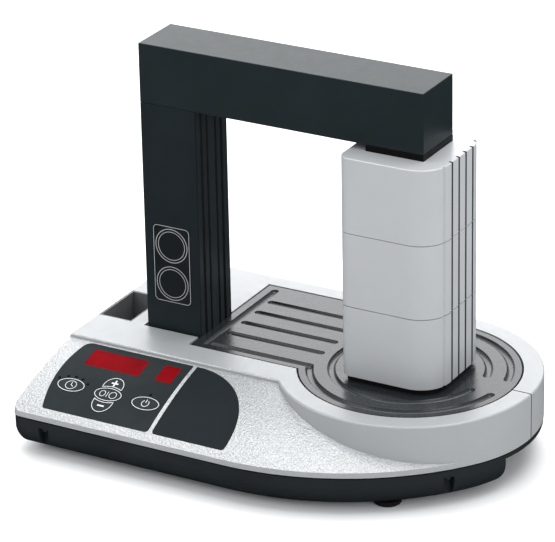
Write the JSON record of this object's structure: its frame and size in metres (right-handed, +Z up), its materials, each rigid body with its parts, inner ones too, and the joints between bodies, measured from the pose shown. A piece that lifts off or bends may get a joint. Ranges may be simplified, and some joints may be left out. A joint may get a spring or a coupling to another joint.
{
  "type": "bearing induction heater",
  "caption": "Bench-top induction heater: U-shaped core with a lift-off yoke bar, a coil housing on one leg, a grooved round-ended work plate and a sloped control panel.",
  "frame": {"origin": "on the bench, in the middle of the footprint's bounding box", "axes": "+X along the yoke from the bare post to the coil, +Y from the operator's side to the back, +Z up"},
  "size_m": [0.427, 0.283, 0.346],
  "materials": {
    "cover": "satin silver-grey structural foam, hammered on the slope",
    "tray": "matt charcoal",
    "rubber": "matt",
    "screw": "zinc plated",
    "plate": "satin graphite, heat-resistant moulding",
    "plated_steel": "zinc plated",
    "bin": "matt grey",
    "lamination": "ground edges of stacked sheet",
    "post_paint": "satin blue-black",
    "black_trim": "matt black",
    "label": "matt film with thin pale outlines",
    "yoke_paint": "satin blue-black",
    "coil_shell": "satin light grey",
    "bobbin": "natural glass-filled",
    "copper": "enamelled copper wire",
    "keypad": "satin film, slate grey",
    "trim": "satin film, charcoal",
    "display_red": "clear red filter",
    "led": "dark lens",
    "key": "satin film, slate grey with a pale outline",
    "circuit_board": "green solder mask",
    "aluminium": "extruded",
    "capacitor": "sleeved can",
    "transformer": "potted block",
    "rocker": "moulded black"
  },
  "bodies": {
    "heater": {"front_cover": "cover", "rear_cover": "cover", "base_tray": "tray", "feet": "rubber", "foot_screws": "screw", "cover_screws": "screw", "support_plate": "plate", "plate_seal": "rubber", "plate_supports": "plated_steel", "storage_bin": "bin", "core_base": "lamination", "post_core": "lamination", "coil_core": "lamination", "core_brackets": "plated_steel", "core_bolts": "plated_steel", "post_front_panel": "post_paint", "post_rear_panel": "post_paint", "post_fins_left": "post_paint", "post_fins_right": "post_paint", "post_collar": "black_trim", "post_label": "label", "coil_housing_lower": "coil_shell", "coil_housing_middle": "coil_shell", "coil_housing_upper": "coil_shell", "coil_seat": "black_trim", "coil_bobbin": "bobbin", "coil_winding": "copper", "keypad_membrane": "keypad", "trim_panel": "trim", "display_window_main": "display_red", "display_window_unit": "display_red", "indicator_leds": "led", "control_board": "circuit_board", "key_switches": "black_trim", "display_modules": "black_trim", "board_posts": "plated_steel", "power_board": "circuit_board", "heat_sink": "aluminium", "capacitors": "capacitor", "control_transformer": "transformer", "connector_panel": "black_trim", "mains_inlet": "black_trim", "fuse_holder": "black_trim", "probe_socket": "aluminium", "switch_frame": "black_trim"},
    "yoke": {"yoke": "yoke_paint"},
    "power_switch": {"power_switch": "rocker"},
    "key_mode": {"key_mode": "key"},
    "key_plus": {"key_plus": "key"},
    "key_enter": {"key_enter": "key"},
    "key_minus": {"key_minus": "key"},
    "key_start": {"key_start": "key"}
  },
  "joints": [
    {"name": "yoke_lift", "type": "slide", "parent": "heater", "child": "yoke", "axis": [0, 0, 1], "range_m": [0, 0.12]},
    {"name": "key_mode_press", "type": "slide", "parent": "heater", "child": "key_mode", "axis": [0, 0.3735, -0.9276], "range_m": [0, 0.0004], "stiffness_N_per_m": 3000, "springref_m": -0.0002},
    {"name": "key_plus_press", "type": "slide", "parent": "heater", "child": "key_plus", "axis": [0, 0.3374, -0.9414], "range_m": [0, 0.0004], "stiffness_N_per_m": 3000, "springref_m": -0.0002},
    {"name": "key_enter_press", "type": "slide", "parent": "heater", "child": "key_enter", "axis": [0, 0.3765, -0.9264], "range_m": [0, 0.0004], "stiffness_N_per_m": 3000, "springref_m": -0.0002},
    {"name": "key_minus_press", "type": "slide", "parent": "heater", "child": "key_minus", "axis": [0, 0.4146, -0.91], "range_m": [0, 0.0004], "stiffness_N_per_m": 3000, "springref_m": -0.0002},
    {"name": "key_start_press", "type": "slide", "parent": "heater", "child": "key_start", "axis": [0, 0.3774, -0.9261], "range_m": [0, 0.0004], "stiffness_N_per_m": 3000, "springref_m": -0.0002},
    {"name": "power_switch_tilt", "type": "hinge", "parent": "heater", "child": "power_switch", "pos_m": [-0.043, 0.13, 0.0555], "axis": [1, 0, 0], "range_deg": [0, 14]}
  ]
}
